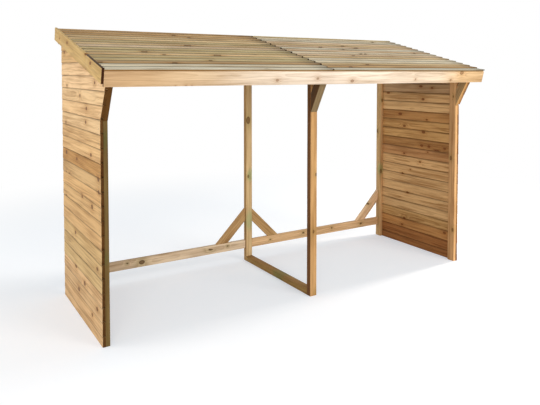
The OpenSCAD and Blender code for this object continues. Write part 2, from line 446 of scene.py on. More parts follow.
def softwood(name, knots=(), squash=(1, 1, 1), share=0.3, contrast=1.0, joint=None, lap_shade=0.5,
             lap_shade_band=LAP_SHADE_BAND, end_colour=None, stains=(), knot_depth=1.0, heart=KNOT_HEART, halo=HALO_WOOD):
    """Treated pine. The share is the chance of a strewn knot, the joint is how far up a board the next one
    starts, with a band just under it darkened as painted shade, and the end colour is that of sawn ends."""
    material, start = new_material(name)
    here = start.node("ShaderNodeTexCoord", output="Object")
    grain, tint, lap = [start.node("ShaderNodeAttribute", {"attribute_name": layer}, output=kind)
                        for layer, kind in (("grain", "Vector"), ("tint", "Color"), ("lap", "Fac"))]

    knot = strewn_knots(grain, share).least(placed_knots(here, knots, squash))
    swirl = math.e ** (knot * knot * SWIRL_FALL)
    core = 1.0 - knot.step(*KNOT_ENDS)
    rim = core * knot.step(*RIM_STARTS)
    marks = {mark: grain.noise(scale, detail) - 0.5 for mark, (scale, detail) in MARKS.items()}
    marks.update(late=late_wood(grain, swirl), core=core)

    shade = SHADE + contrast * weighed(marks, SHADE_OF)
    wood = tint.vector("MULTIPLY", PALE_WOOD).mixed(shade, tint.vector("MULTIPLY", LATE_WOOD))
    if stains:
        pool = placed_knots(here, stains, squash) + STAIN_WANDER * marks["patch"]
        wood = wood.mixed(pool.step(*STAIN_EDGE), wood.vector("MULTIPLY", GREEN_STAIN))
    # painted shade in a band just under the next board's lower edge
    if joint:
        wood = wood.times(1.0 - lap_shade * lap.step(joint - lap_shade_band, joint) * (1.0 + marks["streak"]))
    if end_colour:
        wood = wood.vector("MULTIPLY", end_colour)
    wood = wood.mixed(HALO_DEPTH * swirl, wood.vector("MULTIPLY", halo))
    wood = wood.mixed(HEART_DEPTH * knot_depth * core, heart).mixed(RIM_DEPTH * knot_depth * rim, KNOT_RIM)

    bump = start.node("ShaderNodeBump", inputs={**RELIEF, "Height": weighed(marks, RELIEF_OF)})
    shader = start.node("ShaderNodeBsdfPrincipled", inputs={
        "Base Color": wood, "Roughness": ROUGH + weighed(marks, ROUGH_OF), "Normal": bump,
        "Specular IOR Level": GLOSS})
    start.node("ShaderNodeOutputMaterial", inputs={"Surface": shader})
    return material


cut_ends = softwood("cut ends", share=0.0, end_colour=(0.135, 0.085, 0.035), contrast=1.3)
print("softwood of", len(cut_ends.node_tree.nodes), "nodes")

# %% [markdown]
# ## Directions
# A timber has three directions of its own: along the grain, across its face and through its thickness. They
# could be angles, but unit vectors can be read off the store: up, to the right, up the slope of the roof, up
# a leaning bracket, up a brace.

# %% Directions
ROOF_PITCH = math.radians(14.2)
BRACKET_LEAN = math.radians(29.0)
UP = Vector((0, 0, 1))
TO_RIGHT = Vector((1, 0, 0))
TO_BACK = Vector((0, 1, 0))
UP_SLOPE = Vector((0, math.cos(ROOF_PITCH), math.sin(ROOF_PITCH)))
OFF_SLOPE = Vector((0, -math.sin(ROOF_PITCH), math.cos(ROOF_PITCH)))
UP_BRACKET = Vector((0, -math.sin(BRACKET_LEAN), math.cos(BRACKET_LEAN)))
UP_BRACE_RIGHT = Vector((1, 0, 1)).normalized()
UP_BRACE_LEFT = Vector((-1, 0, 1)).normalized()


def axes(along, across, through, origin):
    """The matrix that puts a timber's own directions into the frame."""
    turned = Matrix((along, across, through)).transposed().to_4x4()
    turned.translation = origin
    return turned


print("roof pitch:", round(math.degrees(ROOF_PITCH), 1), "degrees")

# %% [markdown]
# ## Marking the grain
# No two timbers come from the same place in a tree. Object coordinates alone would run the grain of one post
# on into the next and would not turn with a brace. So every timber draws its own stretch of tree, from a
# fixed seed, and each corner of its mesh keeps its place there.

# %% Grain
END_FACE = 0.8
TREE_REACH = (1, 60)
PITH_ASIDE = (-0.05, 0.05)
PITH_AWAY = (1.5, 4)

chance = random.Random(7)


def pith_beside(thickness):
    """A random stretch of tree, with its pith beside the timber."""
    side = chance.choice((-1, 1))
    beside = side * chance.uniform(*PITH_AWAY) * thickness
    return Vector((chance.uniform(*TREE_REACH), chance.uniform(*PITH_ASIDE), beside))


def mark_grain(bm, place, pith, tint, side=None, side_shading_tint=None):
    """Writes where each corner lay in the tree and its colour, with another tint for the faces to one side,
    which paints light and shade on that side. End faces get the second material."""
    grain = bm.verts.layers.float_vector.new("grain")
    lap = bm.verts.layers.float.new("lap")
    colour = bm.loops.layers.float_color.new("tint")
    back = place.inverted()
    along = place.col[0].to_3d()
    for v in bm.verts:
        inside = back @ v.co
        v[grain] = inside + pith
        v[lap] = inside.y
    bm.normal_update()
    for f in bm.faces:
        f.material_index = int(abs(f.normal.dot(along)) > END_FACE)
        # faces to one side take the tint that paints light and shade there
        own = side_shading_tint if side and f.normal.dot(side) > END_FACE else tint
        for corner in f.loops:
            corner[colour] = own


print("random timbers from a fixed seed")

# %% [markdown]
# ## Cuts and pieces
# Sawn softwood bows a little, but a box that has corners only at its ends can't bend. Subdividing would split
# its width as well, for no gain, so timbers are cut across every so often. A finished mesh becomes a piece of
# the store: it takes its materials, keeps its folds sharp and hides the nodes of the frame that it stands
# for.
# All edges are worn by one bevel, which never overlaps itself.

# %% Cuts and pieces
CUT_SNAP = 1e-6
SMOOTH_FOLD = math.radians(40)


def cut_across(bm, place, direction, **kept):
    everything = bm.verts[:] + bm.edges[:] + bm.faces[:]
    bmesh.ops.bisect_plane(bm, geom=everything, dist=CUT_SNAP, plane_co=place, plane_no=direction, **kept)


def wear_edges(bm, edges, arris, segments=2):
    bmesh.ops.bevel(bm, geom=edges, offset=arris, offset_type="OFFSET", affect="EDGES", segments=segments,
                    profile=0.5, material=-1, clamp_overlap=True)


def cross_cuts(bm, direction, spacing):
    """Cuts across a timber every so often, so that it can bend a little."""
    reach = [v.co.dot(direction) for v in bm.verts]
    count = max(1, round((max(reach) - min(reach)) / spacing))
    for k in range(1, count):
        cut_across(bm, direction * (min(reach) + (max(reach) - min(reach)) * k / count), direction)


def waver(run, row):
    """Slow noise along a timber. Each row is another curve."""
    return noise.noise((run, row, 0))


def add_piece(name, bm, materials, nodes=()):
    """Turns a mesh into a piece of the store that stands for some of the frame's nodes."""
    mesh = mesh_of(name, bm)
    for material in materials:
        mesh.materials.append(material)
    mesh.shade_smooth()
    mesh.set_sharp_from_angle(angle=SMOOTH_FOLD)
    piece = put_in_scene(name, mesh)
    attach(piece, "root")
    if nodes:
        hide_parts(*nodes)
    return piece


print("folds above", round(math.degrees(SMOOTH_FOLD)), "degrees stay sharp")

# %% [markdown]
# ## One timber
# Posts, rails, braces, rafters, battens and trim boards have the right shape in the frame, but knife-sharp
# edges catch no light. Modelling them again by hand would risk a wrong size. So each one is a copy of the
# frame's loose triangles: doubled corners are welded, flat triangles are dissolved into whole faces, and only
# then are the real edges bevelled. The bow is less than a millimetre and stays within the timber's own box.

# %% Saw one timber
TIMBER_T = 0.03
TIMBER_ARRIS = 0.0016
TIMBER_CUTS = 0.14
TIMBER_BOW = 0.0007
BOW_PACE = 1.4
WELD = 1e-5
FLAT_FOLD = math.radians(1)
SHARP_FOLD = math.radians(20)


def saw_timber(node, along, tint, left_shading_tint=None):
    """A copy of a frame timber with worn edges, a slight bow and its grain marked."""
    low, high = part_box(node)
    bm = bmesh.new()
    bm.from_mesh(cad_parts[node].data)
    bmesh.ops.remove_doubles(bm, verts=bm.verts, dist=WELD)
    bmesh.ops.dissolve_limit(bm, angle_limit=FLAT_FOLD, verts=bm.verts, edges=bm.edges)
    wear_edges(bm, [e for e in bm.edges if e.calc_face_angle(0.0) > SHARP_FOLD], TIMBER_ARRIS)
    cross_cuts(bm, along, TIMBER_CUTS)
    side = TO_RIGHT if abs(along.x) < 0.5 else TO_BACK
    across = along.cross(side).normalized()
    seed = chance.uniform(0, 100)
    for v in bm.verts:
        run = v.co.dot(along) * BOW_PACE + seed
        v.co += TIMBER_BOW * (waver(run, 0) * across + waver(run, 9) * side)
        v.co = [min(max(at, least), most) for at, least, most in zip(v.co, low, high)]
    place = axes(along, across, along.cross(across), (low + high) / 2)
    mark_grain(bm, place, pith_beside(TIMBER_T), tint, left_shading_tint and -TO_RIGHT, left_shading_tint)
    return bm


print("timber edges worn to", TIMBER_ARRIS * 1000, "mm")

# %% [markdown]
# ## Posts, brackets and rafters
# The uprights are rough sawn and take the treatment unevenly: the left front post is olive brown, the middle
# one has a dark left side, partly heartwood and partly painted shade, the right one is orange tan. One
# material serves them all, because each timber brings its own tint. Several timbers have a second tint for
# the faces that look left, which paints the light and shade on that side along with the wood's own colour.
# Their large knots are listed one by one, and so are a few spots where the treatment left the wood green.

# %% Posts, brackets and rafters
GREEN_HALO = (0.62, 0.66, 0.46)
POST_KNOTS = [
    ((-0.05, 0.52, 1.26), 0.021), ((-0.05, 0.52, 0.76), 0.010), ((-0.02, -0.45, 0.92), 0.009),
    ((-0.07, -0.43, 0.48), 0.012), ((-0.04, -0.45, 0.49), 0.010), ((1.50, -0.43, 1.47), 0.007),
    ((1.50, -0.41, 0.92), 0.013), ((1.50, -0.44, 0.28), 0.011), ((1.50, 0.55, 1.08), 0.012),
    ((1.51, 0.50, 1.40), 0.011), ((1.50, 0.50, 0.67), 0.014),
]
POST_STAINS = [
    ((-0.03, 0.52, 0.77), 0.04), ((-0.03, 0.52, 0.36), 0.06), ((-0.07, 0.00, 0.03), 0.09),
    ((1.51, 0.50, 0.70), 0.04), ((-1.61, -0.45, 1.28), 0.05), ((-1.61, -0.45, 0.55), 0.05),
]
# second tints, for faces that look left: partly the wood's own colour, partly painted light and shade
POSTS = [
    ("left_front_post", UP, "#745e36"),
    ("left_rear_post", UP, "#c09a62"),
    ("right_front_post", UP, "#efbf86", "#c89b6a"),
    ("right_rear_post", UP, "#d2a876", "#c3a070"),
    ("mid_front_post", UP, "#cb9e68", "#7c5632"),
    ("mid_rear_post", UP, "#d6b888", "#a98656"),
    ("mid_base_rail", TO_BACK, "#9f7a48", "#a2824e"),
    ("left_rafter", UP_SLOPE, "#b8925c"),
    ("mid_rafter", UP_SLOPE, "#b8925c"),
    ("right_rafter", UP_SLOPE, "#b8925c"),
    ("left_bracket", UP_BRACKET, "#5c3d19"),
    ("mid_bracket", UP_BRACKET, "#877353", "#583e24"),
    ("right_bracket", UP_BRACKET, "#d8a86c", "#a88a60"),
]

post_wood = softwood("rough sawn posts", POST_KNOTS, (1.0, 1.0, 0.6), share=0.06, contrast=1.2,
                     stains=POST_STAINS, knot_depth=0.85, heart=paint("#6b4422"), halo=GREEN_HALO)
for node, along, *tints in POSTS:
    bm = saw_timber(node, along, *[paint(tint) for tint in tints])
    add_piece("sawn_" + node, bm, [post_wood, cut_ends], [node])
print("posts, brackets and rafters:", len(POSTS))

# %% [markdown]
# ## Back rails and braces
# Low down at the back a rail in two lengths ties the posts together, and short braces keep them square. They
# are the same softwood with the grain running along the store. A shared list with the posts would hide that
# their knots are squashed along another direction, so they have a material of their own.

# %% Back rails and braces
RAIL_KNOTS = [
    ((1.37, 0.54, 0.34), 0.010), ((1.27, 0.54, 0.15), 0.010), ((0.90, 0.54, 0.16), 0.007),
    ((0.56, 0.54, 0.16), 0.009), ((0.19, 0.54, 0.15), 0.007), ((-0.25, 0.54, 0.16), 0.007),
    ((-1.03, 0.54, 0.15), 0.018), ((-1.15, 0.54, 0.16), 0.007),
]
RAILS = [
    ("left_back_rail", TO_RIGHT, "#e0c8a8"),
    ("right_back_rail", TO_RIGHT, "#e0ba8c"),
    ("left_post_brace", UP_BRACE_LEFT, "#d2aa76"),
    ("mid_left_brace", UP_BRACE_RIGHT, "#bd9868"),
    ("mid_right_brace", UP_BRACE_LEFT, "#bf9a68"),
    ("right_post_brace", UP_BRACE_RIGHT, "#f0cda4"),
]

rail_wood = softwood("rough sawn rails", RAIL_KNOTS, (0.7, 0.3, 1.0), share=0.04, contrast=1.1,
                     heart=paint("#5e3e1e"), halo=GREEN_HALO)
for node, along, tint in RAILS:
    bm = saw_timber(node, along, paint(tint))
    add_piece("sawn_" + node, bm, [rail_wood, cut_ends], [node])
print("rails and braces:", len(RAILS))

# %% [markdown]
# ## Battens and starter strips
# Six battens carry the roof boards, and a thin wedge on the fascia lifts the lowest board to the tilt of the
# others. They sit in the shade, so plain tan timber is enough, with the knots left to chance.

# %% Battens and starter strips
BATTEN_TINT = "#b8945e"
STRIP_TINT = "#a58252"
BATTENS = [side + place + "_batten" for side in ("left_", "right_") for place in ("verge", "bay", "joint")]
STRIPS = ["left_starter_strip", "right_starter_strip"]

batten_wood = softwood("roof battens", share=0.2)
for nodes, along, tint in ((BATTENS, UP_SLOPE, BATTEN_TINT), (STRIPS, TO_RIGHT, STRIP_TINT)):
    for node in nodes:
        bm = saw_timber(node, along, paint(tint))
        add_piece("sawn_" + node, bm, [batten_wood, cut_ends], [node])
print("battens:", len(BATTENS), "strips:", len(STRIPS))

# %% [markdown]
# ## Fascia boards
# The fascia is the palest board on the store: planed, nearly white on its right half, tan to the left and
# orange at its right end. A tint per board can't change along its length, so the tint is written again,
# corner by corner, with a blend between six colours. A little bark is left on its lower edge.

# %% Fascia boards
FASCIA_KNOTS = [
    ((-0.46, -0.61, 1.63), 0.009), ((-0.12, -0.61, 1.64), 0.008), ((0.20, -0.60, 1.62), 0.012),
    ((0.85, -0.61, 1.63), 0.006), ((1.26, -0.60, 1.62), 0.009), ((1.38, -0.62, 1.68), 0.017),
]
BARK = [
    ((-1.20, -0.60, 1.60), 0.003), ((-1.13, -0.60, 1.60), 0.005), ((-1.09, -0.60, 1.60), 0.004),
]
FASCIA_TINTS = [
    (-1.4, paint("#c9a77e")), (-1.0, paint("#dcc09b")), (-0.6, paint("#f0dfc9")), (0.0, paint("#f4e3cf")),
    (1.1, paint("#f5e0c5")), (1.4, paint("#efcb9a")),
]


def tinted_corners(bm):
    """Each face, each of its corners and the layer that holds the tint."""
    colour = bm.loops.layers.float_color["tint"]
    return [(f, corner, colour) for f in bm.faces for corner in f.loops]


def blend_along_x(bm, stops):
    """Gives each corner a tint between those of the stops on its left and right."""
    for f, corner, colour in tinted_corners(bm):
        x = min(stops[-1][0], max(stops[0][0], corner.vert.co.x))
        for (left_x, left), (right_x, right) in zip(stops, stops[1:]):
            if left_x <= x <= right_x:
                corner[colour] = Vector(left).lerp(Vector(right), (x - left_x) / (right_x - left_x))


fascia_wood = softwood("planed fascia", FASCIA_KNOTS + BARK, (0.7, 0.3, 1.0), share=0.0, contrast=0.9,
                       knot_depth=0.6)
for node in ("front_fascia", "rear_fascia"):
    bm = saw_timber(node, TO_RIGHT, FASCIA_TINTS[0][1])
    blend_along_x(bm, FASCIA_TINTS)
    add_piece("sawn_" + node, bm, [fascia_wood, cut_ends], [node])
print("fascia blended from", len(FASCIA_TINTS), "colours")

# %% [markdown]
# ## Barge board
# The barge board closes the left verge. Its top edge has a small nick, as if a saw had slipped. A boolean cut
# would do, but three cuts across the board are lighter: the corners on the middle one are pushed down, and
# that leaves a clean V. In front of it a line of bark is left on the edge. The sawn front end is nearly
# black, dark end grain with painted shade on it, so it has a material of its own.

# %% Barge board
BARGE_KNOTS = [
    ((-1.66, 0.22, 1.89), 0.010), ((-1.66, 0.46, 1.93), 0.006), ((-1.66, -0.38, 1.74), 0.011),
    ((-1.66, -0.27, 1.70), 0.006), ((-1.66, -0.27, 1.80), 0.012),
]
BARGE_TINT = "#caa96f"
BARK_TINT = "#4a3520"
NICK = Vector((0, -0.27, 1.80))
NICK_HALF = 0.008
NICK_DEPTH = 0.015
FACES_UP = 0.3


def nick_top_edge(bm, middle, half, depth):
    """Presses a V into the upper edge of a sloping board."""
    for run in (-half, 0.0, half):
        cut_across(bm, middle + UP_SLOPE * run, UP_SLOPE)
    top = max((v.co - middle).dot(OFF_SLOPE) for v in bm.verts)
    for v in bm.verts:
        away = v.co - middle
        if abs(away.dot(UP_SLOPE)) < half / 2 and away.dot(OFF_SLOPE) > top - depth / 2:
            v.co -= OFF_SLOPE * depth


def darken_top_edge(bm, middle, tint):
    """Bark left on the upper edge, from the nick to the front end."""
    bm.normal_update()
    for f, corner, colour in tinted_corners(bm):
        if f.normal.dot(OFF_SLOPE) > FACES_UP and f.calc_center_median().y < middle.y:
            corner[colour] = tint


barge_wood = softwood("barge board", BARGE_KNOTS, (0.3, 0.5, 1.0), share=0.1, contrast=0.9)
# near-black front end: dark end grain plus painted shade
barge_ends = softwood("barge board ends", share=0.0, end_colour=(0.075, 0.035, 0.020))
bm = saw_timber("barge_board", UP_SLOPE, paint(BARGE_TINT))
nick_top_edge(bm, NICK, NICK_HALF, NICK_DEPTH)
darken_top_edge(bm, NICK, paint(BARK_TINT))
add_piece("sawn_barge_board", bm, [barge_wood, barge_ends], ["barge_board"])
print("barge board nicked by", NICK_DEPTH * 1000, "mm")

# %% [markdown]
# ## One board
# A wall or a roof is a stack of boards. One solid with a stepped profile would give the outline, but not the
# dark gaps, the uneven edges or the change of tone from board to board. So every board is sawn on its own:
# its end is drawn with a few corners and extruded, its long edges are bevelled, and its lower edge is made to
# wander a little, because some boards keep a trace of the round log.

# %% One board
BOARD_ARRIS = 0.0009
BOARD_CUTS = 0.05
BOARD_BOW_PACE = 1.2
WANE_PACE = 5
RIPPLE_PACE = 19
RIPPLE = 0.4
WANE_SHARE = 3


def saw_board(outline, length, wane, bow):
    """A board along X. Its outline gives width in Y and thickness in Z, from its lower edge."""
    bm = bmesh.new()
    end = bm.faces.new([bm.verts.new((0, y, z)) for y, z in outline])
    grown = bmesh.ops.extrude_face_region(bm, geom=[end])["geom"]
    far_end = [v for v in grown if isinstance(v, bmesh.types.BMVert)]
    bmesh.ops.translate(bm, vec=(length, 0, 0), verts=far_end)
    bmesh.ops.recalc_face_normals(bm, faces=bm.faces)
    long_edges = [e for e in bm.edges if abs(e.verts[0].co.x - e.verts[1].co.x) > length / 2]
    wear_edges(bm, long_edges, BOARD_ARRIS)
    cross_cuts(bm, TO_RIGHT, BOARD_CUTS)
    width = max(y for y, z in outline)
    seed = chance.uniform(0, 100)
    for v in bm.verts:
        run = v.co.x + seed
        low_edge = max(0.0, 1.0 - WANE_SHARE * v.co.y / width)
        wander = abs(waver(run * WANE_PACE, 4)) + RIPPLE * abs(waver(run * RIPPLE_PACE, 4))
        v.co.z += bow * waver(run * BOARD_BOW_PACE, 0) * (1 - v.co.y / width)
        v.co.y += wane * low_edge * wander
    return bm


print("board edges worn to", BOARD_ARRIS * 1000, "mm")

# %% [markdown]
# ## Cutting and stacking
# A carpenter nails up whole boards and saws them flush afterwards. The script does the same: a board starts
# too long and is cut back by planes. An array of one board would be lighter, but then all boards would have
# the same edge, grain and colour. The boards of one wall or panel become one piece.

# %% Cutting and stacking


def cut_off(bm, place, towards):
    """Saws off what lies beyond a plane and closes the cut."""
    cut_across(bm, place, towards, clear_outer=True)
    bmesh.ops.holes_fill(bm, edges=[e for e in bm.edges if e.is_boundary], sides=0)


def stack(pieces):
    """Puts meshes together as one."""
    whole = bmesh.new()
    for piece in pieces:
        mesh = mesh_of("part of a stack", piece)
        whole.from_mesh(mesh)
        bpy.data.meshes.remove(mesh)
    return whole


def varied(hex_colour, spread):
    """A board's own colour: close to its fellows', but never the same."""
    light = 1 + chance.uniform(-spread, spread)
    warm = chance.uniform(-spread, spread) / 2
    red, green, blue, alpha = paint(hex_colour)
    return (red * light * (1 + warm), green * light, blue * light * (1 - warm), alpha)


print("boards can be cut, stacked and varied")

# %% [markdown]
# ## Wall boards
# A wall board hangs a thin lip over the tongue of the board below, so rain runs off and the faces lie almost
# flush. From the front the ends of the boards show as a brown strip with a dark notch at each joint. A plain
# rectangle would lose the notch, so the end is drawn with its lip, tongue and splayed back. The planes that
# the boards are cut to come from the frame's own timbers.

# %% Wall board outline
WALL_EXPOSURE = 0.089
WALL_FIRST_LAP = 0.062
WALL_T = 0.019
LIP_H = 0.014
LIP_T = 0.006
LIP_STEP = 0.002
FACE_GAP = 0.002
BACK_GAP = 0.006
SPLAY = 0.008
BED = 0.0002
FACE_TOP = WALL_EXPOSURE - FACE_GAP
TONGUE = WALL_T - LIP_T + BED
TONGUE_TOP = WALL_EXPOSURE + LIP_H - BACK_GAP
WALL_OUTLINE = [
    (0, WALL_T), (FACE_TOP, WALL_T - LIP_STEP), (FACE_TOP, TONGUE), (TONGUE_TOP, TONGUE),
    (TONGUE_TOP - SPLAY, 0), (LIP_H - SPLAY, 0), (LIP_H, WALL_T - LIP_T), (0, WALL_T - LIP_T),
]
RAFTER_H = 0.068
FASCIA_T = 0.018
fascia_low, fascia_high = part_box("front_fascia")
EAVE = Vector((0, fascia_low.y, fascia_high.z - FASCIA_T * math.sin(ROOF_PITCH)))
FRONT_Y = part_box("left_front_post")[0].y
BACK_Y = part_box("left_rear_post")[1].y
BRACKET_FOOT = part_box("left_bracket")[0].z
BRACKET_TIP = EAVE + FASCIA_T * UP_SLOPE - RAFTER_H * OFF_SLOPE
OFF_BRACKET = TO_RIGHT.cross(UP_BRACKET)
print("wall board", WALL_T * 1000, "mm thick with", WALL_EXPOSURE * 1000, "mm in view")

# %% [markdown]
# ## Laying a wall
# The boards go from the ground to the roof, and the front follows the post and then the leaning bracket.
# Cutting the finished wall once would be quicker, but each board has its own sawn end. So every board is cut
# by itself, and the ends along the posts are uneven by up to two millimetres.

# %% Lay a wall
WALL_WANES = (0.001, 0.002, 0.003, 0.006)
WALL_COUNT = math.ceil(cad_high.z / WALL_EXPOSURE)
WALL_SPREAD = 0.05
UNEVEN_END = 0.002


def wall_board(k, out, wall_x, tint):
    """Board k of a wall, counted from the ground, or None if the roof leaves nothing of it."""
    bm = saw_board(WALL_OUTLINE, BACK_Y - BRACKET_TIP.y, chance.choice(WALL_WANES), 0.0)
    lap = WALL_FIRST_LAP + (k - 1) * WALL_EXPOSURE
    along = UP.cross(out)
    start_y = BRACKET_TIP.y if along.y > 0 else BACK_Y
    place = axes(along, UP, out, Vector((wall_x, start_y, lap)))
    bmesh.ops.transform(bm, matrix=place, verts=bm.verts)
    cut_off(bm, Vector((0, 0, 0)), -UP)
    cut_off(bm, EAVE, OFF_SLOPE)
    cut_off(bm, Vector((0, BACK_Y - chance.uniform(0, UNEVEN_END), 0)), TO_BACK)
    if lap < BRACKET_FOOT - LIP_H:
        cut_off(bm, Vector((0, FRONT_Y + chance.uniform(0, UNEVEN_END), 0)), -TO_BACK)
    else:
        cut_off(bm, BRACKET_TIP, OFF_BRACKET)
        cut_off(bm, EAVE + FASCIA_T * UP_SLOPE, -UP_SLOPE)
    if not bm.faces:
        bm.free()
        return None
    mark_grain(bm, place, pith_beside(WALL_T), tint)
    return bm


def lay_wall(name, node, out, wall_x, woods, plain, others):
    """A wall in one plain colour, apart from the boards that the others list names by number."""
    special = {k: tint for tint, numbers in others for k in numbers}
    boards = []
    for k in range(WALL_COUNT + 1):
        board = wall_board(k, out, wall_x, varied(special.get(k, plain), WALL_SPREAD))
        if board:
            boards.append(board)
    print(name, len(boards), "boards")
    add_piece(name, stack(boards), woods, [node])


def on_wall(knots):
    """Knots given by the distance behind the posts' front faces, the height and the radius."""
    return [((0.0, FRONT_Y + back, height), radius) for back, height, radius in knots]


print("up to", WALL_COUNT + 1, "boards in a wall")

# %% [markdown]
# ## Left wall
# The left wall is seen from outside. It is beige, paler towards the roof, with one reddish board at shoulder
# height. Random colours would lose that, so the boards that differ are named by their number from the ground.
# The knots that stand out are placed one by one.

# %% Left wall
LEFT_WALL_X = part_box("left_cladding")[1].x
LEFT_PLAIN = "#d2ab76"
LEFT_OTHERS = [("#d1ae80", (0, 1, 2, 3)), ("#cbab77", (4, 5, 6)), ("#c4955a", (12,)), ("#deb782", (13, 14)),
               ("#e7c290", (15, 16, 17)), ("#eac697", (18, 19))]
LEFT_KNOTS = [
    (0.93, 1.83, 0.011), (0.85, 1.59, 0.011), (0.11, 1.62, 0.010), (0.48, 1.53, 0.011),
    (0.32, 1.45, 0.012), (0.34, 1.36, 0.011), (0.90, 1.32, 0.011), (0.22, 1.16, 0.013),
    (0.90, 1.10, 0.015), (0.59, 1.09, 0.011), (0.06, 1.03, 0.015), (0.05, 0.95, 0.014),
    (0.46, 0.85, 0.010), (0.21, 0.83, 0.015), (0.66, 0.56, 0.013), (0.66, 0.32, 0.014),
    (0.42, 0.27, 0.015), (0.58, 0.18, 0.015), (0.12, 0.20, 0.014), (0.24, 0.12, 0.012),
]

left_wood = softwood("left wall boards", on_wall(LEFT_KNOTS), (0, 0.65, 1), share=0.08, contrast=1.15,
                     joint=FACE_TOP, lap_shade=0.45, heart=paint("#64390f"))
lay_wall("left_wall_boards", "left_cladding", -TO_RIGHT, LEFT_WALL_X, [left_wood, cut_ends], LEFT_PLAIN,
         LEFT_OTHERS)

# %% [markdown]
# ## Right wall
# The right wall shows its inside: brown, dark red at the foot, darker again about the middle and greyish
# under the roof, with stronger streaks than the left wall. It is laid in the same way. Its cut ends took less
# of the treatment, so they stay orange and have a material of their own.

# %% Right wall
RIGHT_WALL_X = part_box("right_cladding")[0].x
RIGHT_PLAIN = "#d1a773"
RIGHT_OTHERS = [("#9c683b", (0, 1)), ("#b4834f", (2, 11, 14)), ("#c39861", (3, 12, 13)), ("#bb8a5a", (10,)),
                ("#b4936d", (17, 18, 19))]
RIGHT_KNOTS = [
    (0.30, 1.54, 0.009), (0.41, 1.43, 0.012), (0.36, 1.24, 0.008), (0.65, 1.16, 0.012),
    (0.40, 1.12, 0.014), (0.42, 0.99, 0.012), (0.33, 0.99, 0.011), (0.14, 0.99, 0.010),
    (0.65, 0.89, 0.009), (0.44, 0.83, 0.009), (0.67, 0.69, 0.010), (0.60, 0.51, 0.011),
    (0.64, 0.25, 0.012), (0.67, 0.18, 0.009), (0.13, 0.22, 0.011),
]

right_wood = softwood("right wall boards", on_wall(RIGHT_KNOTS), (0, 0.60, 1), share=0.12, contrast=1.4,
                      joint=FACE_TOP, lap_shade=0.3)
right_ends = softwood("right wall ends", share=0.0, end_colour=(0.65, 0.47, 0.27), contrast=1.3)
lay_wall("right_wall_boards", "right_cladding", TO_RIGHT, RIGHT_WALL_X, [right_wood, right_ends], RIGHT_PLAIN,
         RIGHT_OTHERS)

# %% [markdown]
# ## Roof boards
# The roof is two panels of thin lapped boards. Each board lies with its lower edge on the face of the board
# below. Flat strips with a picture of steps would do from afar, but from eye level the lower edges are as
# high as the faces between them. So each board is a tilted plank, and it gets one tint for its face and one
# for its lower edge, which paints light on that edge: a painted highlight on most, painted shade on the
# lowest.

# %% One roof board
ROOF_EXPOSURE = 0.081
BOARD_W = 0.104
BOARD_T = 0.009
ROOF_OUTLINE = [(0, 0), (BOARD_W, 0), (BOARD_W, BOARD_T), (0, BOARD_T)]
ROOF_WANES = (0.0006, 0.0010, 0.0020)
ROOF_BOW = 0.0008
ROOF_TILT = math.asin((BOARD_T - BED) / ROOF_EXPOSURE)
DRIP_EDGE = 0.004
ROOF_END = (BACK_Y + FASCIA_T - EAVE.y) / math.cos(ROOF_PITCH)
ROOF_COUNT = math.ceil((ROOF_END + DRIP_EDGE) / ROOF_EXPOSURE)
ACROSS_ROOF = UP_SLOPE * math.cos(ROOF_TILT) - OFF_SLOPE * math.sin(ROOF_TILT)
OFF_BOARD = OFF_SLOPE * math.cos(ROOF_TILT) + UP_SLOPE * math.sin(ROOF_TILT)


def roof_board_place(k, x):
    """The lower edge of roof board k, at its left end and underside."""
    origin = EAVE + UP_SLOPE * (k * ROOF_EXPOSURE - DRIP_EDGE) + OFF_SLOPE * BOARD_W * math.sin(ROOF_TILT)
    origin.x = x
    return axes(TO_RIGHT, ACROSS_ROOF, OFF_BOARD, origin)


def roof_board(k, left_x, right_x, tint, edge_light_tint):
    bm = saw_board(ROOF_OUTLINE, right_x - left_x, chance.choice(ROOF_WANES), ROOF_BOW)
    place = roof_board_place(k, left_x)
    bmesh.ops.transform(bm, matrix=place, verts=bm.verts)
    cut_off(bm, EAVE + UP_SLOPE * ROOF_END, UP_SLOPE)
    mark_grain(bm, place, pith_beside(BOARD_T * 2), tint, -ACROSS_ROOF, edge_light_tint)
    return bm


print("roof boards tilted by", round(math.degrees(ROOF_TILT), 1), "degrees, in", ROOF_COUNT, "rows")

# %% [markdown]
# ## Laying the roof
# The ends of the boards don't line up exactly where the two panels meet, which makes the row of dark dots up
# the slope. Straight ends with a painted line would look drawn. So each board gets its own length, and its
# tint is darkened towards its right end as painted shade. The lowest edge is the darkest, also painted shade.

# %% Lay a roof panel
END_REACH = 0.16
END_SHADE = 0.45
EDGE_HIGHLIGHT = (0.96, 1.22)
FIRST_EDGE_SHADE = 0.65
ROOF_SPREAD = 0.04


def darken_towards(bm, end_x):
    """Darkens a board's tint near one end, as painted shade."""
    for f, corner, colour in tinted_corners(bm):
        near = max(0.0, 1.0 - abs(corner.vert.co.x - end_x) / END_REACH)
        corner[colour] = Vector(corner[colour]) * (1.0 - END_SHADE * near)


def lay_roof(name, node, wood, tints, uneven):
    """One panel, with a tint for each board. Its left and right ends are uneven by up to two given amounts,
    and dark at the right."""
    low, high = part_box(node)
    boards = []
    for k in range(ROOF_COUNT):
        left_x = low.x + chance.uniform(0, uneven[0])
        right_x = high.x - chance.uniform(0, uneven[1])
        face = varied(tints[min(k, len(tints) - 1)], ROOF_SPREAD)
        # lower edges: mostly lighter than the face, painted highlight; the lowest one darker, painted shade
        edge_light = chance.uniform(*EDGE_HIGHLIGHT) if k else FIRST_EDGE_SHADE
        board = roof_board(k, left_x, right_x, face, Vector(face) * edge_light)
        # painted shade towards the right end of each board
        darken_towards(board, high.x)
        boards.append(board)
    print(name, len(boards), "boards")
    add_piece(name, stack(boards), [wood, cut_ends], [node])


print("ends darkened over", END_REACH, "m")

# %% [markdown]
# ## Colours of the roof
# The roof has weathered to pale, silver and olive boards. A colour code for each board would be hard to read,
# so the stains have names, and the boards of a panel are listed from the eave up. Where a list ends, its last
# stain goes on to the top.

